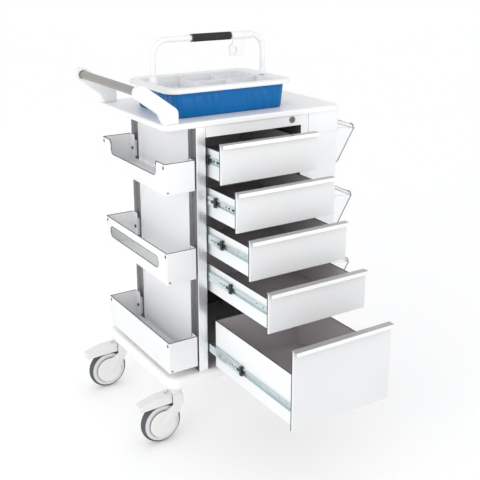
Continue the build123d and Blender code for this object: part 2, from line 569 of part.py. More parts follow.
def make_bail(foot_z, top_z):
    """The tube over the tote, the foam grip on it and the clamp with its hanging plate."""
    cx, cy = TOTE_CENTRE
    left, right = cx - BAIL_SPAN / 2, cx + BAIL_SPAN / 2
    corners = ((left, cy, foot_z), (left, cy, top_z), (right, cy, top_z), (right, cy, foot_z))
    with BuildPart() as bail:
        with BuildLine():
            FilletPolyline(*corners, radius=BAIL_BEND)
        with BuildSketch(Plane(origin=corners[0], z_dir=(0, 0, 1))):
            Circle(BAIL_RADIUS)
        sweep()
    keep(bail, "tote_bail")
    span = (left + GRIP_SPAN[0], left + GRIP_SPAN[1])
    with BuildPart() as grip:
        with Locations((sum(span) / 2, cy, top_z)):
            Cylinder(GRIP_RADIUS, span[1] - span[0], rotation=(0, 90, 0))
            fillet(grip.edges().filter_by(GeomType.CIRCLE), 2)
            Cylinder(BAIL_RADIUS + 0.05, span[1] - span[0], rotation=(0, 90, 0), mode=Mode.SUBTRACT)
    keep(grip, "tote_grip")
    start = left + CLIP_START
    with BuildPart() as clip:
        with BuildSketch(front_plane(cy - PLATE_THICK / 2)):
            with BuildLine():
                Polyline(
                    (start - 2, top_z - 66), (start + 40, top_z - 66), (start + 52, top_z - 48),
                    (start + 56, top_z), (start + 8, top_z), (start + 8, top_z - 22),
                    (start - 6, top_z - 36), close=True,
                )
            make_face()
            with Locations((start + 12, top_z - 46)):
                Circle(9, mode=Mode.SUBTRACT)
        extrude(amount=-PLATE_THICK)
        with Locations((start + CLIP_LENGTH / 2, cy, top_z)):
            Cylinder(CLIP_RADIUS, CLIP_LENGTH, rotation=(0, 90, 0))
            Cylinder(BAIL_RADIUS + 0.05, CLIP_LENGTH + 4, rotation=(0, 90, 0), mode=Mode.SUBTRACT)
    keep(clip, "tote_clip")


def make_tote():
    floor = TOP_TOP + TOTE_REST_GAP
    rim_z = floor + TUB_HEIGHT
    foot_z = rim_z + RIM_THICK
    make_tub_and_rim(floor, rim_z)
    make_bail(foot_z, foot_z + BAIL_HEIGHT)


make_push_handle()
make_side_bins()
make_clear_bins()
make_tote()

# ---------------------------------------------------------------- origin and files
whole = Compound(children=[piece.moved(Location()) for piece in pieces]).bounding_box()
origin = Vector((whole.min.X + whole.max.X) / 2, (whole.min.Y + whole.max.Y) / 2, 0)

if __name__ == "__main__":
    os.makedirs("parts", exist_ok=True)
    for piece in pieces:
        placed = piece.moved(Location(-origin))
        placed.label = piece.label
        export_step(placed, f"parts/{piece.label}.step")
    print(len(pieces), "nodes, box", whole.size, "origin", origin)
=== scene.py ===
import json
from math import cos, pi, radians, sin

import bmesh
import bpy
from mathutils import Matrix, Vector


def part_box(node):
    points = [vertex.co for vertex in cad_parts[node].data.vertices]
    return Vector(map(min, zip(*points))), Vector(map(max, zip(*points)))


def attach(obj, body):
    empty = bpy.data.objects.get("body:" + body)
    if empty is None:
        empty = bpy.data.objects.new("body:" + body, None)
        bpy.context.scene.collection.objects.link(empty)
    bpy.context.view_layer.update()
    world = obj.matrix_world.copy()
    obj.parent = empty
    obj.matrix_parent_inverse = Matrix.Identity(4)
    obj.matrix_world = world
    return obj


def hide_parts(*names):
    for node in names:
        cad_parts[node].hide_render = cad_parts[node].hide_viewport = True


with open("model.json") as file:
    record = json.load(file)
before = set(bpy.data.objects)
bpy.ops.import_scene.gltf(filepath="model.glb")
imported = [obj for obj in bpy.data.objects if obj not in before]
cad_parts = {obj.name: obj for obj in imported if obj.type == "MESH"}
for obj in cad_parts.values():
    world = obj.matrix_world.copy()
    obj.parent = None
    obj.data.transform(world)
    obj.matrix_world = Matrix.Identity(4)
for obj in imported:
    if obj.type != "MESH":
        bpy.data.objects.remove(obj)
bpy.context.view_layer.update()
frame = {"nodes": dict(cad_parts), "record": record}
NODES = frame["nodes"]
DRAWERS = (1, 2, 3, 4, 5)
BRAKED = ("front_left", "rear_left")
MM = 0.001
ORIGIN = Vector((195.5, 3.25, 0.0))

# The part's own datum in millimetres: x = 0 on the body's left face, y = 0 on its front, z = 0 on the floor.
BAY_X = (34.0, 383.0)
BOX_X = (47.0, 370.0)
DRAWER_OPEN = (86.0, 172.0, 244.5, 341.0, 462.5)
SIDE_BINS = {"upper": (824.0, 918.0), "middle": (541.0, 642.0), "lower": (243.0, 346.0)}
SIDE_BIN_ENDS = (-4.4, 439.4)
SIDE_BIN_FACE = -107.4
CLEAR_BIN_TOPS = (980.0, 747.0, 505.0)
CLEAR_BIN_ENDS = (4.5, 436.5)
LOCK_X, LOCK_Z = 348.0, 1001.0
STEMS = {"front_left": (-76, 26), "rear_left": (-76, 446), "front_right": (510, 26), "rear_right": (510, 446)}
TRAIL = 54.0
AXLE_Z = 68.0
COVER = 45.0
BAR_X, BAR_Z, BAR_RADIUS = -172.0, 1131.0, 13.0
TOTE = (159.0, 188.0)
TUB_FLOOR, RIM_LOW, RIM_HIGH = 1033.3, 1110.0, 1124.0
BAIL_FEET = (-40.5, 358.5)
GRIP_ENDS = (93.5, 233.5)
GRIP_Z = 1253.0


# ---------------------------------------------------------------- materials
def new_material(name, color, roughness, metallic=0.0, **sockets):
    """A material with a Principled shader whose constants sit on its own sockets."""
    material = bpy.data.materials.new(name)
    material.use_nodes = True
    shader = material.node_tree.nodes["Principled BSDF"]
    shader.inputs["Base Color"].default_value = (*color, 1)
    shader.inputs["Roughness"].default_value = roughness
    shader.inputs["Metallic"].default_value = metallic
    for socket, value in sockets.items():
        shader.inputs[socket.replace("_", " ")].default_value = value
    return material, material.node_tree, shader


def add_node(tree, kind, **settings):
    node = tree.nodes.new(kind)
    for key, value in settings.items():
        setattr(node, key, value)
    return node


def mapped_noise(tree, scale, detail=3.0, stretch=(1, 1, 1), roughness=0.55):
    """Noise over the piece's own coordinates; returns its value output."""
    coordinates = add_node(tree, "ShaderNodeTexCoord")
    mapping = add_node(tree, "ShaderNodeMapping")
    mapping.inputs["Scale"].default_value = stretch
    noise = add_node(tree, "ShaderNodeTexNoise")
    noise.inputs["Scale"].default_value = scale
    noise.inputs["Detail"].default_value = detail
    noise.inputs["Roughness"].default_value = roughness
    tree.links.new(coordinates.outputs["Object"], mapping.inputs["Vector"])
    tree.links.new(mapping.outputs["Vector"], noise.inputs["Vector"])
    return noise.outputs["Fac"]


def ramp(tree, source, low, high, start=0.3, end=0.7):
    """Map a value onto a run between two values or two colours."""
    if isinstance(low, (int, float)):
        node = add_node(tree, "ShaderNodeMapRange")
        for socket, value in zip(("From Min", "From Max", "To Min", "To Max"), (start, end, low, high)):
            node.inputs[socket].default_value = value
        tree.links.new(source, node.inputs["Value"])
        return node.outputs["Result"]
    node = add_node(tree, "ShaderNodeValToRGB")
    for stop, position, color in zip(node.color_ramp.elements, (start, end), (low, high)):
        stop.position = position
        stop.color = (*color, 1)
    tree.links.new(source, node.inputs["Fac"])
    return node.outputs["Color"]


EDGE_FADE = (0.02, 0.16)


def edge_mask(tree, radius):
    """1 on convex edges, 0 on flat faces, from the angle between the true and the rounded normal."""
    bevel = add_node(tree, "ShaderNodeBevel", samples=4)
    bevel.inputs["Radius"].default_value = radius
    geometry = add_node(tree, "ShaderNodeNewGeometry")
    dot = add_node(tree, "ShaderNodeVectorMath", operation="DOT_PRODUCT")
    tree.links.new(bevel.outputs["Normal"], dot.inputs[0])
    tree.links.new(geometry.outputs["Normal"], dot.inputs[1])
    return ramp(tree, dot.outputs["Value"], 1.0, 0.0, 1 - EDGE_FADE[1], 1 - EDGE_FADE[0])


COLOR_A, COLOR_B, COLOR_RESULT = 6, 7, 2


def mix_color(tree, factor, first, second):
    """Mix two colours, each a constant or another node's output."""
    node = add_node(tree, "ShaderNodeMix", data_type="RGBA")
    tree.links.new(factor, node.inputs["Factor"])
    for socket, value in ((COLOR_A, first), (COLOR_B, second)):
        if isinstance(value, tuple):
            node.inputs[socket].default_value = (*value, 1)
        else:
            tree.links.new(value, node.inputs[socket])
    return node.outputs[COLOR_RESULT]


def bump(tree, shader, height, strength, distance):
    """Raise the surface by a height value, without moving it."""
    node = add_node(tree, "ShaderNodeBump")
    node.inputs["Strength"].default_value = strength
    node.inputs["Distance"].default_value = distance
    tree.links.new(height, node.inputs["Height"])
    tree.links.new(node.outputs["Normal"], shader.inputs["Normal"])


def scaled(color, factor):
    """A colour made lighter or darker, kept within white."""
    return tuple(min(1.0, c * factor) for c in color)


def coated(name, color, roughness, grain, depth, wear=None, edge_radius=0.0006, **sockets):
    """Powder coat or moulded plastic: orange peel, faint cloudiness and edges rubbed a little."""
    material, tree, shader = new_material(name, color, roughness, **sockets)
    clouds = mapped_noise(tree, 5.0, 2.0)
    tint = ramp(tree, clouds, scaled(color, 0.975), scaled(color, 1.015))
    if wear:
        tint = mix_color(tree, edge_mask(tree, edge_radius), tint, wear)
    tree.links.new(tint, shader.inputs["Base Color"])
    scuffs = mapped_noise(tree, 38.0, 5.0, (1, 1, 2.2), 0.65)
    tree.links.new(ramp(tree, scuffs, roughness - 0.05, roughness + 0.09), shader.inputs["Roughness"])
    bump(tree, shader, mapped_noise(tree, grain, 2.0), 0.35, depth)
    return material


BRUSH_GRAIN = 900.0


def brushed(name, color, roughness, stretch, contrast, metallic, wear=None):
    """Drawn or brushed metal: fine lines along one axis in colour, roughness and height."""
    material, tree, shader = new_material(name, color, roughness, metallic)
    lines = mapped_noise(tree, BRUSH_GRAIN, 2.0, stretch, 0.7)
    tint = ramp(tree, lines, scaled(color, 1 - contrast), scaled(color, 1 + contrast))
    if wear:
        tint = mix_color(tree, edge_mask(tree, 0.0005), tint, wear)
    tree.links.new(tint, shader.inputs["Base Color"])
    tree.links.new(ramp(tree, lines, roughness - 0.06, roughness + 0.10), shader.inputs["Roughness"])
    bump(tree, shader, lines, 0.25, 0.00002)
    return material


# Colour, roughness, grain, depth of the grain in metres, colour of rubbed edges and the edges' radius.
COATED = {
    "white_moulding": ((0.88, 0.88, 0.88), 0.38, 650, 0.00005, (0.89, 0.89, 0.89), 0.002),
    "white_powder_coat": ((0.86, 0.865, 0.87), 0.4, 1100, 0.00003, (0.90, 0.90, 0.90)),
    "white_front": ((0.80, 0.805, 0.81), 0.34, 1100, 0.000025, (0.86, 0.86, 0.86), 0.001),
    "panel_powder_coat": ((0.88, 0.885, 0.90), 0.42, 1100, 0.00003, (0.8, 0.8, 0.8)),
    "grey_drawer_steel": ((0.60, 0.57, 0.585), 0.45, 1200, 0.00003, (0.66, 0.62, 0.63)),
    "box_side_white": ((0.87, 0.89, 0.895), 0.38, 1100, 0.00003, (0.9, 0.9, 0.9)),
    # Dark cut edges; the added edge lines are wider than the sheet, so they also carry painted shade beside
    # it.
    "cut_edge_and_shade": ((0.045, 0.043, 0.043), 0.6, 900, 0.00002),
    "dark_fastener": ((0.02, 0.02, 0.022), 0.4, 700, 0.00003, (0.12, 0.12, 0.12)),
    "white_bracket": ((0.84, 0.84, 0.835), 0.3, 500, 0.00004, (0.88, 0.88, 0.88), 0.002),
    "white_plastic": ((0.84, 0.84, 0.84), 0.32, 600, 0.00004, (0.93, 0.93, 0.93), 0.001),
    "white_tube": ((0.83, 0.835, 0.84), 0.24, 900, 0.00002),
    "caster_white": ((0.82, 0.82, 0.81), 0.36, 500, 0.00004, (0.9, 0.9, 0.89), 0.0015),
    "wheel_white": ((0.76, 0.76, 0.755), 0.36, 500, 0.00004, (0.88, 0.88, 0.87), 0.001),
    "tyre_grey": ((0.075, 0.085, 0.105), 0.62, 700, 0.0001, (0.12, 0.13, 0.15), 0.0015),
    "blue_plastic": ((0.001, 0.13, 0.38), 0.2, 420, 0.00003, (0.02, 0.22, 0.5), 0.0012),
    "black_foam": ((0.018, 0.018, 0.02), 0.8, 1500, 0.0003),
    "dark_backing": ((0.02, 0.02, 0.022), 0.5, 900, 0.00002),
    # Painted shade for the inside of the drawer bay.
    "bay_painted_shade": ((0.10, 0.098, 0.10), 0.5, 900, 0.00003),
    "black_plastic": ((0.02, 0.02, 0.022), 0.35, 700, 0.00005, (0.2, 0.2, 0.2), 0.0008),
    "grip_band": ((0.12, 0.12, 0.125), 0.45, 700, 0.00005),
    # Painted shade for holes and the keyway.
    "hole_painted_shade": ((0.012, 0.012, 0.014), 0.7, 700, 0.00005),
    # Painted light: a lighter copy of the white moulding for the base plate, brightening it where the bins
    # shade it.
    "base_moulding_painted_light": ((0.93, 0.93, 0.93), 0.38, 650, 0.00005, (0.93, 0.93, 0.93), 0.002),
    # Painted shade for the gap round each hub cover.
    "gap_painted_shade": ((0.22, 0.20, 0.19), 0.7, 700, 0.00003),
    "tray_plastic": ((0.80, 0.81, 0.83), 0.25, 500, 0.00004, (0.9, 0.9, 0.9), 0.001),
    # Painted shade along the clear bins' edges, a dark one and a paler one.
    "clear_edge_painted_shade": ((0.20, 0.21, 0.22), 0.12, 300, 0.00002),
    "clear_edge_pale_painted_shade": ((0.60, 0.61, 0.62), 0.12, 300, 0.00002),
}
COAT_SOCKETS = {"blue_plastic": {"Specular_IOR_Level": 0.22}}
# Colour, roughness, stretch of the lines, contrast, metallic and colour of rubbed edges.
BRUSHED = {
    "silver_extrusion": ((0.95, 0.955, 0.96), 0.30, (1, 1, 0.02), 0.03, 0.85),
    # Painted shade: a dark copy of the silver extrusion for the posts' track sides.
    "track_painted_shade": ((0.17, 0.175, 0.18), 0.38, (1, 1, 0.02), 0.08, 0.85),
    "grey_extrusion": ((0.36, 0.35, 0.33), 0.34, (1, 0.02, 1), 0.08, 0.9),
    "pull_aluminium": ((0.46, 0.455, 0.445), 0.30, (0.015, 1, 1), 0.06, 0.9, (0.8, 0.8, 0.8)),
    "zinc_steel": ((0.66, 0.74, 0.76), 0.28, (1, 0.03, 1), 0.10, 0.9),
    "lock_metal": ((0.20, 0.15, 0.12), 0.32, (1, 1, 1), 0.25, 0.95, (0.6, 0.56, 0.5)),
    # Painted highlight: a bright copy of the pull's aluminium for its front faces.
    "pull_painted_highlight": ((0.93, 0.93, 0.93), 0.32, (0.015, 1, 1), 0.03, 0.3),
}
MATERIALS = {name: coated(name, *values, **COAT_SOCKETS.get(name, {})) for name, values in COATED.items()}
MATERIALS.update((name, brushed(name, *values)) for name, values in BRUSHED.items())


def make_clear_material():
    """Clear moulded plastic: nearly invisible face on, brighter at grazing angles from a painted reflection,
    and greyer at edges from painted shade.
    """
    body_color, edge_shade_color, edge_radius = (0.93, 0.95, 0.96), (0.35, 0.37, 0.39), 0.0016
    material, tree, shader = new_material("clear_plastic", body_color, 0.06, IOR=1.49)
    # The opacity rising at grazing angles paints a reflection, and the grey on edges paints shade.
    facing = add_node(tree, "ShaderNodeLayerWeight")
    facing.inputs["Blend"].default_value = 0.35
    rim = add_node(tree, "ShaderNodeMath", operation="MAXIMUM")
    tree.links.new(ramp(tree, facing.outputs["Facing"], 0.05, 0.5, 0.3, 1.0), rim.inputs[0])
    tree.links.new(ramp(tree, edge_mask(tree, edge_radius), 0.0, 0.62, 0.0, 1.0), rim.inputs[1])
    tree.links.new(rim.outputs["Value"], shader.inputs["Alpha"])
    tint = mix_color(tree, edge_mask(tree, edge_radius), body_color, edge_shade_color)
    tree.links.new(tint, shader.inputs["Base Color"])
    scratches = mapped_noise(tree, 300.0, 4.0, (1, 0.1, 1))
    tree.links.new(ramp(tree, scratches, 0.03, 0.12), shader.inputs["Roughness"])
    return material


MATERIALS["clear_plastic"] = make_clear_material()


def dress(obj, *names):
    """Give an object the named materials, one slot each."""
    obj.data.materials.clear()
    for name in names:
        obj.data.materials.append(MATERIALS[name])


for subpart in frame["record"]["subparts"]:
    dress(NODES[subpart["node"]], subpart["material_slot"])


# ---------------------------------------------------------------- finishes, painted shade and painted highlights that change across one node
def at(x, y, z):
    """A point of the part's own millimetre datum in the shared frame."""
    return (Vector((x, y, z)) - ORIGIN) * MM


def frame_slot(node):
    """The material slot that the record gives to a node."""
    return next(s["material_slot"] for s in frame["record"]["subparts"] if s["node"] == node)


def paint(node, names, tests):
    """Dress a CAD node and move the faces that pass each test to that test's own slot."""
    obj = NODES[node]
    dress(obj, *names)
    for slot, test in enumerate(tests, 1):
        for face in obj.data.polygons:
            centre = face.center / MM + ORIGIN
            if test(centre, face.normal):
                face.material_index = slot


def paint_drawer(number):
    """White outer sides, grey inside, bare slide members, dark cut edges, backing, and a painted highlight on
    the pull's front faces.
    """
    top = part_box(f"drawer_{number}_box")[1].z / MM
    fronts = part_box(f"drawer_{number}_front")
    skin_back = fronts[1].y / MM + ORIGIN.y - 3
    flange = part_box(f"drawer_{number}_pull")[1]
    paint(
        f"drawer_{number}_box",
        ("grey_drawer_steel", "box_side_white", "zinc_steel", "cut_edge_and_shade"),
        (
            lambda c, k: abs(k.x) > 0.9 and min(abs(c.x - side) for side in BOX_X) < 0.3,
            lambda c, k: c.x < BOX_X[0] - 0.2 or c.x > BOX_X[1] + 0.2,
            lambda c, k: k.z > 0.9 and c.z > top - 0.5,
        ),
    )
    paint(
        f"drawer_{number}_front",
        ("white_front", "dark_backing"),
        (lambda c, k: c.y > skin_back + 0.1 and k.y < 0.9,),
    )
    # The pull's faces towards the front get a painted highlight.
    paint(
        f"drawer_{number}_pull",
        ("pull_aluminium", "pull_painted_highlight", "cut_edge_and_shade"),
        (
            lambda c, k: k.y < -0.4,
            lambda c, k: k.y > 0.9 and c.y > flange.y / MM + ORIGIN.y - 0.5,
        ),
    )


def paint_cabinet():
    """Track faces on the posts darkened as painted shade, and painted shade on the inside of the drawer bay.
    """
    # The posts' track sides get painted shade, and their faces towards the drawer bay get the bay's painted
    # shade.
    paint(
        "corner_posts",
        ("silver_extrusion", "track_painted_shade", "bay_painted_shade"),
        (
            lambda c, k: abs(k.x) > 0.6 and (c.x < 12 or c.x > 517),
            lambda c, k: abs(k.x) > 0.6 and (33 < c.x < 40 or 490 < c.x < 497) and c.y > 6,
        ),
    )
    # Faces inside the drawer bay, and the header rail's underside and back, get painted shade.
    for node, test in (
        ("left_panel", lambda c, k: k.x > 0.9),
        ("back_panel", lambda c, k: k.y < -0.9 and 34 < c.x < 411),
        ("bay_wall", lambda c, k: k.x < -0.9),
        ("header_rail", lambda c, k: k.z < -0.9 or k.y > 0.5),
    ):
        first = frame_slot(node)
        paint(node, (first, "bay_painted_shade"), (test,))
    # The base plate gets the lighter copy of its moulding: painted light.
    dress(NODES["base_plate"], "base_moulding_painted_light")
    for label, (low, _) in SIDE_BINS.items():
        node = f"side_bin_{label}"
        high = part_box(node)[1].z / MM

        def is_cut(c, k):
            on_top = k.z > 0.8 and c.z > high - 0.4
            across_the_face = c.x < SIDE_BIN_FACE + 0.7 and abs(k.x) < 0.3 and c.z > low + 8
            return on_top or across_the_face

        paint(node, (frame_slot(node), "cut_edge_and_shade"), (is_cut,))


for n in DRAWERS:
    paint_drawer(n)
paint_cabinet()


# ---------------------------------------------------------------- mesh building
def ring(centre, radius, axis="z", count=32, squash=1.0):
    """Points of a circle about a centre, in a plane across the named axis, in millimetres."""
    points = []
    for k in range(count):
        angle = 2 * pi * k / count
        u, v = radius * cos(angle), radius * squash * sin(angle)
        points.append(Vector(centre) + Vector({"x": (0, u, v), "y": (u, 0, v), "z": (u, v, 0)}[axis]))
    return points


def rounded_rectangle(centre, size, corner, z, per_corner=12, per_side=1):
    """Points round a rectangle with round corners, at one height."""
    points = []
    for turn, (sx, sy) in enumerate(((1, 1), (-1, 1), (-1, -1), (1, -1))):
        middle = Vector((centre[0] + sx * (size[0] / 2 - corner), centre[1] + sy * (size[1] / 2 - corner), z))
        for k in range(per_corner + 1):
            angle = pi / 2 * (turn + k / per_corner)
            points.append(middle + corner * Vector((cos(angle), sin(angle), 0)))
    if per_side > 1:
        filled = []
        for k, point in enumerate(points):
            filled.append(point)
            following = points[(k + 1) % len(points)]
            if (following - point).length > 2 * corner / per_corner + 4:
                filled += [point.lerp(following, j / per_side) for j in range(1, per_side)]
        points = filled
    return points


def skin(build, rings, closed=False):
    """Join rings of equal length by quads; points are in the part's millimetre datum."""
    rows = [[build.verts.new(at(*point)) for point in points] for points in rings]
    pairs = list(zip(rows, rows[1:])) + ([(rows[-1], rows[0])] if closed else [])
    for low, high in pairs:
        for k in range(len(low)):
            j = (k + 1) % len(low)
            build.faces.new((low[k], low[j], high[j], high[k]))
    if not closed:
        build.faces.new(list(reversed(rows[0])))
        build.faces.new(rows[-1])


def block(build, x, y, z, soften=0.0):
    """A box between limits, with its edges bevelled."""
    outline = ((x[0], y[0]), (x[1], y[0]), (x[1], y[1]), (x[0], y[1]))
    before = set(build.verts)
    skin(build, [[Vector((*corner, height)) for corner in outline] for height in z])
    if soften:
        made = set(build.verts) - before
        edges = [edge for edge in build.edges if edge.verts[0] in made and edge.verts[1] in made]
        bmesh.ops.bevel(build, geom=edges, offset=soften * MM, segments=3, profile=0.5, affect="EDGES")


def prism(build, outline, y):
    """An outline in X and Z carried from one depth to another."""
    skin(build, [[Vector((x, depth, z)) for x, z in outline] for depth in y])


def tube(build, path, radius, count=12):
    """A round wire along a path of points."""
    rings = []
    for k, point in enumerate(path):
        ahead = (Vector(path[min(k + 1, len(path) - 1)]) - Vector(path[max(k - 1, 0)])).normalized()
        side = ahead.cross(Vector((0, 0, 1)) if abs(ahead.z) < 0.9 else Vector((0, 1, 0))).normalized()
        up = side.cross(ahead)
        angles = [2 * pi * j / count for j in range(count)]
        rings.append([Vector(point) + radius * (cos(a) * side + sin(a) * up) for a in angles])
    skin(build, rings)


def finish_piece(build, name, body, material, stands_for=(), sharp=35):
    """Turn a bmesh into a piece that rides on a body and takes a material."""
    bmesh.ops.recalc_face_normals(build, faces=build.faces)
    mesh = bpy.data.meshes.new(name)
    build.to_mesh(mesh)
    build.free()
    obj = bpy.data.objects.new(name, mesh)
    bpy.context.scene.collection.objects.link(obj)
    mesh.shade_smooth()
    mesh.set_sharp_from_angle(angle=radians(sharp))
    dress(obj, material)
    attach(obj, body)
    if stands_for:
        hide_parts(*stands_for)
    return obj


def sculpt(name, node, body, voxel, passes, extra=None):
    """A moulded version of a CAD node: its volume, and any extra one, remeshed and smoothed."""
    build = bmesh.new()
    build.from_mesh(NODES[node].data)
    bmesh.ops.remove_doubles(build, verts=build.verts, dist=0.00001)
    if extra:
        extra(build)
    material = frame_slot(node)
    obj = finish_piece(build, name, body, material, stands_for=(node,), sharp=80)
    remesh = obj.modifiers.new("remesh", "REMESH")
    remesh.mode = "VOXEL"
    remesh.voxel_size = voxel * MM
    smooth = obj.modifiers.new("smooth", "SMOOTH")
    smooth.factor = 0.5
    smooth.iterations = passes
    rough = obj.data
    baked = bpy.data.meshes.new_from_object(obj.evaluated_get(bpy.context.evaluated_depsgraph_get()))
    obj.modifiers.clear()
    obj.data = baked
    bpy.data.meshes.remove(rough)
    baked.name = name
    baked.shade_smooth()
    baked.materials.clear()
    dress(obj, material)
    return obj


# ---------------------------------------------------------------- casters
PEDAL_HEEL, PEDAL_TIP = 21, 138
PEDAL_DROOP, PEDAL_TAPER = 7, 0.22


def add_fork_shapes(build, stem):
    """What moulding adds to a fork: a flared neck, domed covers and a leaf that runs down each arm."""
    sx, sy = stem
    ax = sx - TRAIL
    skin(build, [ring((sx, sy, z), r) for z, r in ((142, 20), (160, 20), (170, 20.5), (174, 24), (178, 26))])
    leaf = (
        (sx - 18.4, 158), (sx + 17, 158), (sx + 18, 128), (sx + 4, 104), (ax + 34, 86),
        (ax + 15, 72), (ax + 1, 65), (ax + 8, 78), (ax + 20, 98), (sx - 18.4, 124),
    )
    for side in (-1, 1):
        prism(build, leaf, sorted((sy + side * 20, sy + side * 27.5)))
        rings = ((21, COVER - 1), (23.6, COVER - 2), (24.6, COVER - 10), (25.0, 12))
        skin(build, [ring((ax, sy + side * y, AXLE_Z), r, "y", 64) for y, r in rings])


def make_cover_gap(name, stem):
    """A dark ring of painted shade in the gap round each hub cover."""
    build = bmesh.new()
    for side in (-1, 1):
        rows = [(45.6, 17.2), (47.0, 17.2), (47.0, 18.3), (45.6, 18.3)]
        centre_x = stem[0] - TRAIL
        skin(build, [ring((centre_x, stem[1] + side * y, AXLE_Z), r, "y", 72) for r, y in rows], closed=True)
    finish_piece(build, f"cover_gap_{name}", f"caster_{name}", "gap_painted_shade")


def bend_pedal(pedal, stem):
    """Bow the hood down and narrow it towards its tip."""
    heel, tip = stem[0] - PEDAL_HEEL, stem[0] - PEDAL_TIP
    for vertex in pedal.data.vertices:
        spot = vertex.co / MM + ORIGIN
        share = min(1.0, max(0.0, (heel - spot.x) / (heel - tip)))
        spot.z -= PEDAL_DROOP * share ** 2
        spot.y = stem[1] + (spot.y - stem[1]) * (1 - PEDAL_TAPER * share ** 3)
        vertex.co = (spot - ORIGIN) * MM


def make_casters():
    """Moulded forks and painted shade in the hub gaps on all four casters, and hoods on the two with brakes.
    """
    for name, stem in STEMS.items():
        make_cover_gap(name, stem)
        sculpt(
            f"fork_shell_{name}", f"caster_fork_{name}", f"caster_{name}", 1.1, 4,
            lambda build, stem=stem: add_fork_shapes(build, stem),
        )
        if name in BRAKED:
            pedal = sculpt(f"pedal_shell_{name}", f"brake_pedal_{name}", f"pedal_{name}", 1.0, 24)
            bend_pedal(pedal, stem)


# ---------------------------------------------------------------- push handle
def make_handle():
    """Smooth swept arms and a bar with ribs along its length."""
    sculpt("handle_arms", "handle_brackets", "cart", 1.5, 14)
    build = bmesh.new()
    low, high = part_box("push_bar")
    ends = (low.y / MM + ORIGIN.y, high.y / MM + ORIGIN.y)
    count, ribs, rib_depth = 168, 12, 1.1
    outline = []
    for k in range(count):
        angle = 2 * pi * k / count
        radius = BAR_RADIUS - rib_depth * max(0.0, cos(ribs * angle)) ** 2
        outline.append((radius * cos(angle) + BAR_X, radius * sin(angle) + BAR_Z))
    prism(build, outline, ends)
    finish_piece(build, "push_bar_ribbed", "cart", "grey_extrusion", stands_for=("push_bar",), sharp=70)


# ---------------------------------------------------------------- carry tote
RAISED = (
    (-0.47, -0.36), (-0.33, -0.26), (-0.23, -0.19), (-0.16, -0.13),
    (0.14, 0.16), (0.21, 0.24), (0.29, 0.33), (0.38, 0.47),
)
RAISED_BY = 2.6
TUB_SIZE = (386.0, 264.0)
TUB_CORNER = 22.0
TUB_SLOPE = 0.0699
RIM_SIZE = (450.0, 300.0)
RIM_CORNER = 42.0
INSERT_SIZE = (374.0, 226.0)
INSERT_WALLS = (-0.14, 0.18)


def rib_offset(share):
    """How far the tub's wall stands out at a share of a side's length from its middle."""
    return RAISED_BY if any(start < share < end for start, end in RAISED) else 0.0


def tub_ring(height, inset, ribs):
    """One level of the tub, which widens by four degrees and has upright ribs near its corners."""
    grow = 2 * (height - TUB_FLOOR) * TUB_SLOPE
    size = (TUB_SIZE[0] + grow - 2 * inset, TUB_SIZE[1] + grow - 2 * inset)
    points = rounded_rectangle(TOTE, size, TUB_CORNER - inset / 2, height, 10, 150)
    if not ribs:
        return points
    moved = []
    for point in points:
        dx, dy = point.x - TOTE[0], point.y - TOTE[1]
        if abs(abs(dy) - size[1] / 2) < 0.05:
            point = point + Vector((0, rib_offset(dx / size[0]) * (1 if dy > 0 else -1), 0))
        elif abs(abs(dx) - size[0] / 2) < 0.05:
            point = point + Vector((rib_offset(dy / size[1]) * (1 if dx > 0 else -1), 0, 0))
        moved.append(point)
    return moved


def make_tote():
    """The tub, the rim that closes over it, and what stands in and on them."""
    build = bmesh.new()
    levels = (
        (TUB_FLOOR, 5.0, False), (TUB_FLOOR + 0.8, 2.2, False), (TUB_FLOOR + 4, 0.4, False),
        (TUB_FLOOR + 7, 0.0, True), (TUB_FLOOR + 40, 0.0, True), (RIM_LOW - 3, 0.0, True),
        (RIM_LOW - 0.2, 0.0, False), (RIM_LOW - 0.2, 2.4, False),
        (TUB_FLOOR + 6, 2.4, False), (TUB_FLOOR + 2.4, 6.0, False),
    )
    skin(build, [tub_ring(*level) for level in levels])
    finish_piece(build, "tub_shell", "tote", "blue_plastic", stands_for=("tote_tub",), sharp=50)
    build = bmesh.new()
    profile = (
        (0.8, RIM_LOW), (0.0, RIM_LOW + 1), (0.0, RIM_HIGH - 5), (1.4, RIM_HIGH - 1.6), (5, RIM_HIGH),
        (22, RIM_HIGH), (25, RIM_HIGH - 1.6), (27, RIM_HIGH - 4), (33, RIM_HIGH - 5), (36, RIM_HIGH - 8),
        (36, RIM_LOW - 14), (34.4, RIM_LOW - 14), (34, RIM_LOW + 2), (28, RIM_LOW + 3), (25, RIM_LOW),
    )
    rings = []
    for inset, z in profile:
        size = (RIM_SIZE[0] - 2 * inset, RIM_SIZE[1] - 2 * min(inset, 25 + inset / 9))
        rings.append(rounded_rectangle(TOTE, size, RIM_CORNER - 0.5 * inset, z))
    skin(build, rings, closed=True)
    finish_piece(build, "rim_moulding", "tote", "white_plastic", stands_for=("tote_rim",), sharp=45)
    make_insert()
    sculpt("clip_moulding", "tote_clip", "tote", 0.8, 5, add_clip_shapes)
    make_bail_fittings()


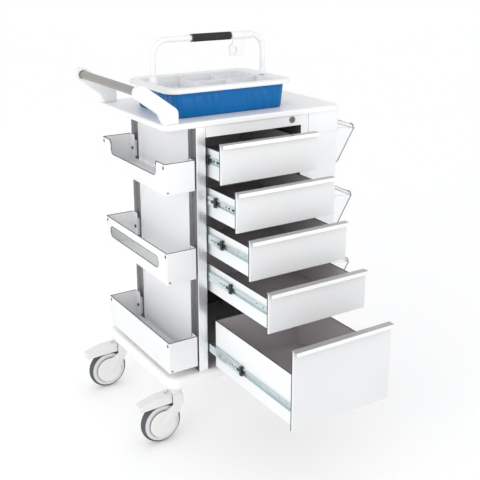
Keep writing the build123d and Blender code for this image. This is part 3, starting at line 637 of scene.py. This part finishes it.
def make_insert():
    """The shallow lift-out tray inside the rim, with two cross walls and one lengthwise wall."""
    build = bmesh.new()
    low, high, wall = RIM_LOW - 24, RIM_HIGH - 6, 1.6
    size = INSERT_SIZE
    levels = ((low, 0.0), (high, -1.5), (high, 0.1), (low + wall, 1.6))
    skin(build, [rounded_rectangle(TOTE, (size[0] - 2 * i, size[1] - 2 * i), 18 - i, z) for z, i in levels])
    for share in INSERT_WALLS:
        x = TOTE[0] + share * size[0]
        block(build, (x - 1, x + 1), (TOTE[1] - 111, TOTE[1] + 111), (low + 1, high - 3), 0.4)
    lengthwise = (TOTE[0] + INSERT_WALLS[0] * size[0], TOTE[0] + 185)
    block(build, lengthwise, (TOTE[1] + 18, TOTE[1] + 20), (low + 1, high - 4), 0.4)
    finish_piece(build, "insert_tray", "tote", "tray_plastic")


def add_clip_shapes(build):
    """The clamp's end collars and the raised eye round the hook's hole."""
    for x, width in ((236.5, 7), (303, 9)):
        skin(build, [ring((x + s, TOTE[1], GRIP_Z), 12.5, "x", 48) for s in (0.4, width)])
    outer, inner = 13.0, 9.2
    rows = [(outer, -5.5), (outer, 5.5), (inner, 5.5), (inner, -5.5)]
    skin(build, [ring((248.5, TOTE[1] + y, GRIP_Z - 46), r, "y", 48) for r, y in rows], closed=True)


def make_bail_fittings():
    """Socket collars at the bail's feet and the foam grip's end rings."""
    build = bmesh.new()
    levels = ((-1, 15), (3, 14.5), (8, 12), (16, 10.6), (17, 9.2))
    for x in BAIL_FEET:
        skin(build, [ring((x, TOTE[1], RIM_HIGH + up), r) for up, r in levels])
    finish_piece(build, "bail_sockets", "tote", "white_plastic")
    build = bmesh.new()
    rows = ((-1.6, 9.2), (-1.6, 11.6), (-0.6, 12.5), (0.6, 12.5), (1.6, 11.6), (1.6, 9.2))
    for x in GRIP_ENDS:
        skin(build, [ring((x + s, TOTE[1], GRIP_Z), r, "x", 48) for s, r in rows])
    finish_piece(build, "grip_rings", "tote", "grip_band")


# ---------------------------------------------------------------- telescopic slides
# Along from the front, up, half length and half height of the holes in the inner members.
LONG_HOLES = ((26, 0, 8, 3.4), (48, 0, 5, 3.4), (66, 0, 3, 3.4))
ROUND_HOLES = ((34, 2.4, 2.2, 2.0), (70, 2.4, 2.2, 2.0))
MIDDLE_HOLES = ((33, 2.5, 3.0), (41, -2.5, 2.2), (49, 1.0, 3.6), (60, 0, 2.4), (120, 0, 3.0))


def slide_height(number):
    """The slide's middle height, from the middle members' box."""
    low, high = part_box(f"drawer_{number}_middle_slides")
    return (low.z + high.z) / 2 / MM


def hole(build, x, inward, y, z, long, tall=2.4):
    """A punched hole, shown as a thin disc of painted shade just proud of an upright web."""
    face_x = x - inward * 0.15
    points = [Vector((face_x, y + long * cos(pi * k / 10), z + tall * sin(pi * k / 10))) for k in range(20)]
    skin(build, [points, [point + Vector((inward * 0.3, 0, 0)) for point in points]])


def make_slide_details(number):
    """Retainers and ball-cage windows at the middle members, and holes in the inner ones; the windows and
    holes are dark discs of painted shade.
    """
    z, out = slide_height(number), DRAWER_OPEN[number - 1]
    start = 40.0 - out / 2
    retainers, holes, inner = bmesh.new(), bmesh.new(), bmesh.new()
    for side, inward in zip(BAY_X, (1, -1)):
        def across(near, far):
            return sorted((side + inward * near, side + inward * far))

        block(retainers, across(1.8, 4.6), (start - 2, start + 9), (z - 15, z + 15), 0.6)
        for low in (-15.2, 10.4):
            block(retainers, across(4.2, 10.8), (start - 3, start + 7), (z + low, z + low + 4.8), 0.6)
        block(retainers, across(1.7, 2.8), (start + 9, start + 24), (z - 4, z + 5), 0.3)
        web = side + inward * 2.8
        for along, up, long in MIDDLE_HOLES:
            hole(holes, web, inward, start + along, z + up, long)
        inner_web = side + inward * 11.2
        front = 10.0 - out
        for along, up, long, tall in LONG_HOLES if number < 3 else ROUND_HOLES:
            hole(inner, inner_web, inward, front + along, z + up, long, tall)
    slides = f"drawer_{number}_slides"
    finish_piece(retainers, f"slide_retainers_{number}", slides, "black_plastic")
    finish_piece(holes, f"slide_holes_{number}", slides, "hole_painted_shade")
    finish_piece(inner, f"inner_holes_{number}", f"drawer_{number}", "hole_painted_shade")


# ---------------------------------------------------------------- side and clear bins
def make_bin_fasteners():
    """Tall dark rivets on the bins' outer corners and the screws that hold them to the tracks."""
    build = bmesh.new()
    face_rivet = ((-108, 3.9), (-109, 3.6), (-109.4, 2.2))
    end_rivet = ((-5, 2.8), (-6, 2.4), (-6.3, 1.2))
    track_screw = ((-9.2, 5.2), (-11.6, 5.2), (-12.8, 4.0), (-13.0, 1.6))
    for low, high in SIDE_BINS.values():
        for y in (4.0, 431.0):
            skin(build, [ring((x, y, high - 12), r, "x", 20, 1.5) for x, r in face_rivet])
        skin(build, [ring((-99, y, low + 6), r, "y", 20) for y, r in end_rivet])
        for y in (25.0, 422.0):
            skin(build, [ring((x, y, (low + high) / 2), r, "x", 24) for x, r in track_screw])
    finish_piece(build, "bin_rivets_and_screws", "cart", "dark_fastener", stands_for=("bin_fasteners",))


def make_cut_edges():
    """Dark lines along the tops of the side bins and round the middle one's window: their bare cut edges,
    drawn wider with painted shade.
    """
    build = bmesh.new()
    front, back = SIDE_BIN_ENDS
    for label, (low, high) in SIDE_BINS.items():
        run = [(front, high), (back, high)]
        if label == "upper":
            run[1:1] = [
                (50, high), (54, high - 6), (54, high - 32), (58, high - 42), (68, high - 46),
                (363, high - 46), (373, high - 42), (377, high - 32), (377, high - 6), (381, high),
            ]
        tube(build, [(SIDE_BIN_FACE, y, z) for y, z in run], 1.35, 8)
        for y in SIDE_BIN_ENDS:
            tube(build, [(SIDE_BIN_FACE, y, high), (-8.6, y, high)], 1.1, 8)
            tube(build, [(-8.2, y, high), (-8.2, y, low + 2)], 0.7, 8)
    corner, steps = 18.0, 8
    near, far = 52.0 + corner, 410.0 - corner
    low, high = SIDE_BINS["middle"][0] + 36 + corner, SIDE_BINS["middle"][1] - 27 - corner
    loop = []
    for turn, (middle_y, middle_z) in enumerate(((far, high), (near, high), (near, low), (far, low))):
        for k in range(steps + 1):
            angle = pi / 2 * (turn + k / steps)
            loop.append((SIDE_BIN_FACE, middle_y + corner * cos(angle), middle_z + corner * sin(angle)))
    tube(build, loop + loop[:1], 1.2, 8)
    finish_piece(build, "bin_cut_edges", "cart", "cut_edge_and_shade", sharp=60)


def make_box_edges():
    """Dark lines along the sides and the back of each drawer box: bare cut edges, drawn wider with painted
    shade.
    """
    for number in DRAWERS:
        build = bmesh.new()
        low, high = (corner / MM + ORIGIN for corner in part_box(f"drawer_{number}_box"))
        for x in (BOX_X[0] + 0.6, BOX_X[1] - 0.6):
            tube(build, [(x, low.y + 1, high.z), (x, high.y - 1, high.z)], 1.3, 8)
        tube(build, [(BOX_X[0] + 1, high.y - 0.6, high.z), (BOX_X[1] - 1, high.y - 0.6, high.z)], 1.0, 8)
        name = f"box_cut_edges_{number}"
        finish_piece(build, name, f"drawer_{number}", "cut_edge_and_shade", sharp=60)


def make_front_edges(number):
    """Dark strips on the side edges of each front's backing, behind its white skin."""
    build = bmesh.new()
    low, high = (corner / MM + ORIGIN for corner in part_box(f"drawer_{number}_front"))
    for x in ((low.x, low.x + 1.4), (high.x - 1.4, high.x)):
        block(build, x, (high.y - 4.2, high.y), (low.z + 0.4, high.z - 0.2), 0.2)
    finish_piece(build, f"front_edges_{number}", f"drawer_{number}", "dark_backing")


def make_keyway():
    """Painted shade in the keyway of the lock's plug, which turns with it."""
    build = bmesh.new()
    block(build, (LOCK_X - 1.1, LOCK_X + 1.1), (-3.9, -3.0), (LOCK_Z - 4.4, LOCK_Z + 4.4), 0.2)
    finish_piece(build, "keyway", "lock_plug", "hole_painted_shade")


def make_clear_bin_edges():
    """Painted shade along the thick moulded edges of the clear bins, drawn as dark lines."""
    build = bmesh.new()
    for top in CLEAR_BIN_TOPS:
        for y in CLEAR_BIN_ENDS:
            tube(build, [(531, y, top - 140), (538, y, top - 141), (602.6, y, top - 37)], 1.5)
            lip = ((602.6, top - 37), (600, top - 25), (594, top - 19.5), (588, top - 17))
            tube(build, [(x, y, z) for x, z in lip], 2.3)
        tube(build, [(594, 5, top - 20), (594, 435, top - 20)], 1.0)
        tube(build, [(603.8, 5, top - 36), (603.8, 435, top - 36)], 0.9)
    finish_piece(build, "clear_bin_edges", "cart", "clear_edge_painted_shade", sharp=60)
    # Paler lines of painted shade along the clear bins' top edges.
    build = bmesh.new()
    for top in CLEAR_BIN_TOPS:
        for y in CLEAR_BIN_ENDS:
            tube(build, [(530, y, top - 1), (594, y, top - 19.5)], 0.8)
            tube(build, [(530, y, top - 26), (600, y, top - 34)], 0.6)
    finish_piece(build, "clear_bin_top_edges", "cart", "clear_edge_pale_painted_shade", sharp=60)


make_casters()
make_handle()
make_tote()
for n in DRAWERS:
    make_slide_details(n)
make_bin_fasteners()
make_cut_edges()
make_box_edges()
for n in DRAWERS:
    make_front_edges(n)
make_keyway()
make_clear_bin_edges()

# ---------------------------------------------------------------- camera, floor and lights
CAMERA_SPOT = Vector((-1.3742, -2.1227, 1.5308))
CAMERA_AZIMUTH, CAMERA_ELEVATION = -32.16, 16.5
CAMERA_LENS, CAMERA_SHIFT = 63.1, -0.097


def make_camera():
    """The camera at the viewing angle, looking along its own azimuth and elevation."""
    camera = bpy.data.objects.new("camera", bpy.data.cameras.new("camera"))
    bpy.context.scene.collection.objects.link(camera)
    camera.location = CAMERA_SPOT
    azimuth, elevation = radians(CAMERA_AZIMUTH), radians(CAMERA_ELEVATION)
    back = Vector((sin(azimuth) * cos(elevation), -cos(azimuth) * cos(elevation), sin(elevation)))
    camera.rotation_mode = "QUATERNION"
    camera.rotation_quaternion = (-back).to_track_quat("-Z", "Y")
    camera.data.lens = CAMERA_LENS
    camera.data.shift_y = CAMERA_SHIFT
    camera.data.dof.use_dof = False
    bpy.context.scene.camera = camera


def make_floor():
    """A pale studio floor, with a little light of its own so that it burns out to white."""
    mesh = bpy.data.meshes.new("floor")
    reach = 30
    corners = [(-reach, -reach, 0), (reach, -reach, 0), (reach, reach, 0), (-reach, reach, 0)]
    mesh.from_pydata(corners, [], [(0, 1, 2, 3)])
    floor = bpy.data.objects.new("floor", mesh)
    bpy.context.scene.collection.objects.link(floor)
    material, tree, shader = new_material("floor", (0.9, 0.9, 0.9), 0.6, Emission_Strength=0.16)
    shader.inputs["Emission Color"].default_value = (1, 1, 1, 1)
    tree.links.new(ramp(tree, mapped_noise(tree, 3.0), 0.55, 0.7), shader.inputs["Roughness"])
    mesh.materials.append(material)


def area_light(name, spot, target, size, power, color=(1, 1, 1), spread=180):
    """A square light at a spot, aimed at a target, with its beam's spread in degrees."""
    data = bpy.data.lights.new(name, "AREA")
    data.shape = "SQUARE"
    data.size = size
    data.energy = power
    data.color = color
    data.spread = radians(spread)
    light = bpy.data.objects.new(name, data)
    bpy.context.scene.collection.objects.link(light)
    light.location = spot
    light.rotation_mode = "QUATERNION"
    light.rotation_quaternion = (Vector(target) - Vector(spot)).to_track_quat("-Z", "Y")


def make_studio():
    """A white room, greyer overhead, with a soft key from the left and a weak fill."""
    world = bpy.data.worlds.new("studio")
    bpy.context.scene.world = world
    world.use_nodes = True
    tree = world.node_tree
    background = tree.nodes["Background"]
    background.inputs["Strength"].default_value = 1.0
    coordinates = add_node(tree, "ShaderNodeTexCoord")
    split = add_node(tree, "ShaderNodeSeparateXYZ")
    tree.links.new(coordinates.outputs["Generated"], split.inputs["Vector"])
    sky = ramp(tree, split.outputs["Z"], (1.0, 1.0, 1.0), (0.84, 0.85, 0.87), 0.35, 0.95)
    tree.links.new(sky, background.inputs["Color"])
    area_light("key", (-3.0, -1.4, 1.7), (0, 0, 0.7), size=2.0, power=23, color=(1, 0.99, 0.97))
    area_light("fill", (0.9, -3.6, 1.2), (0, 0, 1.5), size=0.8, power=1.5, spread=40)
    bpy.context.scene.view_settings.view_transform = "Standard"


make_camera()
make_floor()
make_studio()
